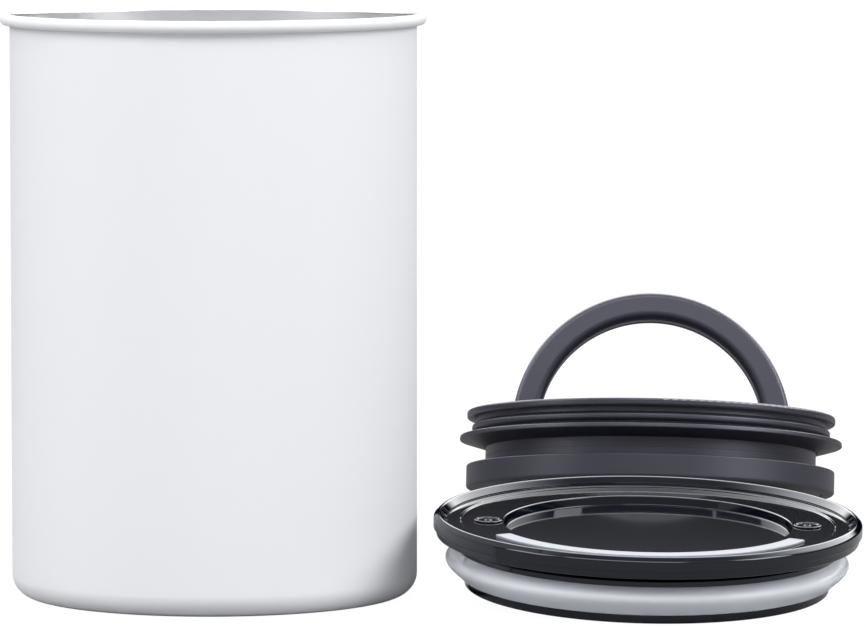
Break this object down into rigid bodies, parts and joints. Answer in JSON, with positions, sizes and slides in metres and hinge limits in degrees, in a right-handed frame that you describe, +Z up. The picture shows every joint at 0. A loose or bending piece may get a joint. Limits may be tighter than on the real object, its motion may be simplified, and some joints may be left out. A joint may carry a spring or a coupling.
{
  "type": "coffee canister with valve",
  "caption": "Steel food canister with a rolled rim, a plunger lid whose folding handle works an air valve, and a tinted outer lid with a soft seal.",
  "frame": {"origin": "centre of the canister's flat foot, on the table", "axes": "+Z up along the canister's axis, -Y toward the viewer, +X toward the two lids that stand beside the canister"},
  "size_m": [0.2608, 0.3192, 0.1733],
  "materials": {
    "coated_steel": "matte",
    "black_plastic": "satin",
    "black_rubber": "satin",
    "clear_silicone": "satin",
    "smoked_plastic": "gloss",
    "steel": "brushed",
    "brass": "satin",
    "white_plastic": "satin"
  },
  "bodies": {
    "canister": {"canister_body": "coated_steel"},
    "outer_lid": {"outer_lid_shell": "smoked_plastic", "outer_lid_seal": "clear_silicone", "outer_lid_strip": "clear_silicone"},
    "inner_lid": {"inner_lid_body": "black_plastic", "inner_lid_base": "black_plastic", "wiper_gasket": "black_rubber", "band_gasket": "black_rubber", "body_o_ring": "black_rubber", "base_screws": "steel", "valve_seat": "white_plastic", "valve_cup": "black_plastic", "cup_screws": "steel", "vent_screen": "steel", "valve_spring": "steel", "plunger_guide": "brass", "valve_cover": "black_plastic", "cover_screws": "steel", "shaft_bush_left": "brass", "shaft_bush_right": "brass", "bearing_cap_left": "black_plastic", "bearing_cap_right": "black_plastic", "bearing_cap_screws": "steel"},
    "handle_set": {"handle": "black_plastic", "cross_shaft": "steel", "valve_cam": "white_plastic", "shaft_pins": "steel"},
    "plunger_set": {"valve_plunger": "white_plastic", "valve_disc": "clear_silicone", "disc_retainer": "steel", "cam_follower": "white_plastic"}
  },
  "joints": [
    {"name": "outer_lid_lift", "type": "slide", "parent": "canister", "child": "outer_lid", "axis": [0, 0, 1], "range_m": [0, 0.2]},
    {"name": "inner_lid_lift", "type": "slide", "parent": "canister", "child": "inner_lid", "axis": [0, 0, 1], "range_m": [0, 0.2]},
    {"name": "handle_fold", "type": "hinge", "parent": "inner_lid", "child": "handle_set", "pos_m": [0.13574, 0.17688, 0.03078], "axis": [-0.9997, 0, 0.0227], "range_deg": [0, 85]},
    {"name": "valve_slide", "type": "slide", "parent": "inner_lid", "child": "plunger_set", "axis": [-0.0223, -0.1908, -0.9814], "range_m": [0, 0.0016], "deforming": ["valve_spring"]}
  ],
  "couplings": [
    {"joint": "valve_slide", "follows": "handle_fold", "m_per_rad": 0.0010785}
  ]
}
